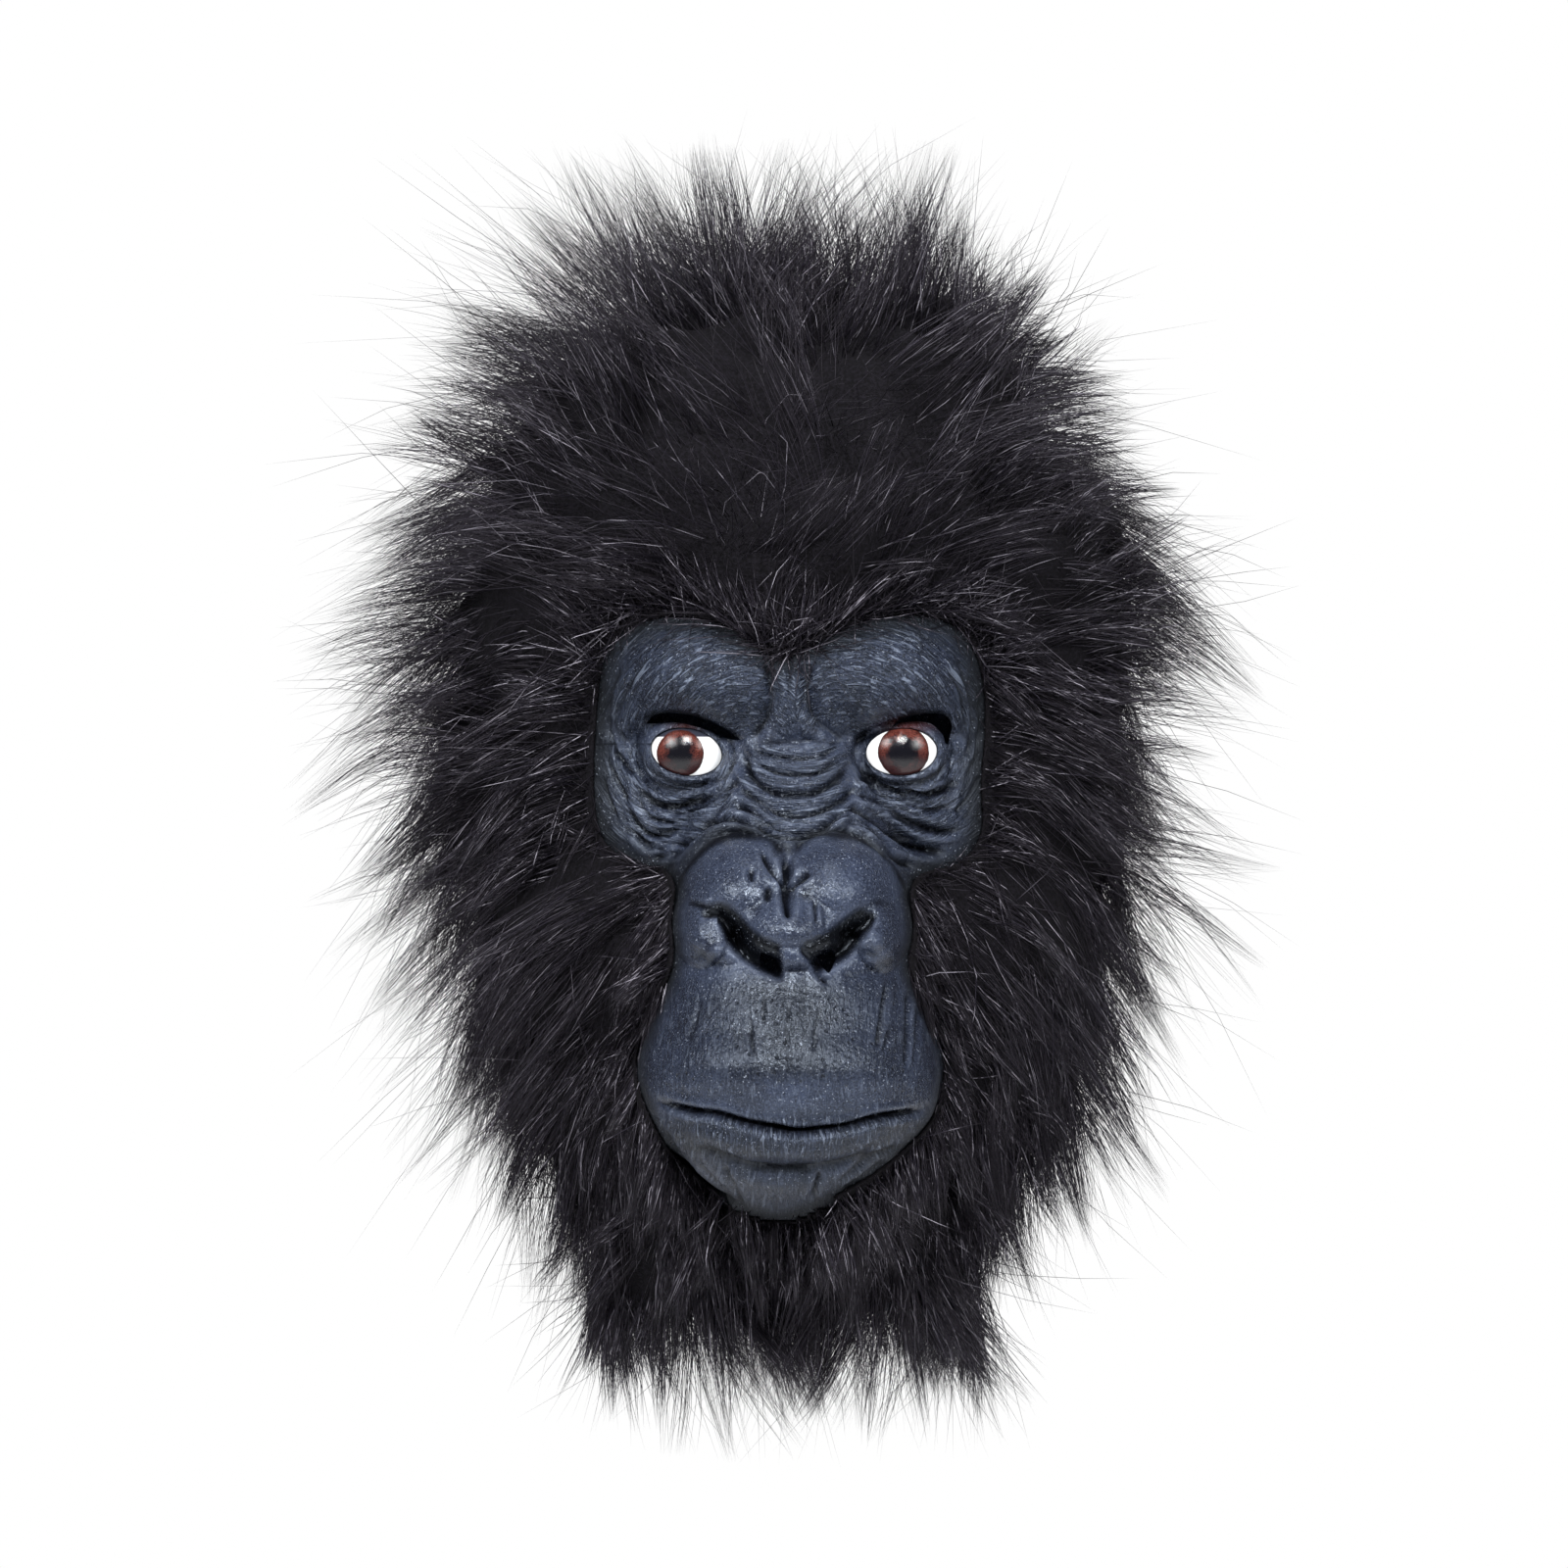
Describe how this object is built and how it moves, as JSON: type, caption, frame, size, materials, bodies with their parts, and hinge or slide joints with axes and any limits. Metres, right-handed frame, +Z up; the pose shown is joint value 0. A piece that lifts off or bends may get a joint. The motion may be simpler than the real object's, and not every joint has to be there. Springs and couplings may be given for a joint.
{
  "type": "gorilla mask",
  "caption": "Overhead animal mask: hollow rubber ape face with heavy brow, broad nose and closed mouth, glossy eyes under sight slits, long dark fur round the face and neck.",
  "frame": {"origin": "inside of the crown on the middle line, where the wearer's head carries the mask; see mount head_seat", "axes": "+X to the right in a view of the face, +Y from the face to the back of the head, +Z up; the face looks along -Y"},
  "size_m": [0.2996, 0.3158, 0.3858],
  "materials": {
    "rubber": "satin blue-grey cast rubber, darker in the creases",
    "eye_gloss": "painted red-brown iris on white under clear gloss",
    "fur": "long near-black pile with a soft sheen"
  },
  "bodies": {
    "root": {"rubber_head": "rubber", "eye_left": "eye_gloss", "eye_right": "eye_gloss", "fur_hood": "fur", "fur_collar": "fur"}
  },
  "joints": []
}
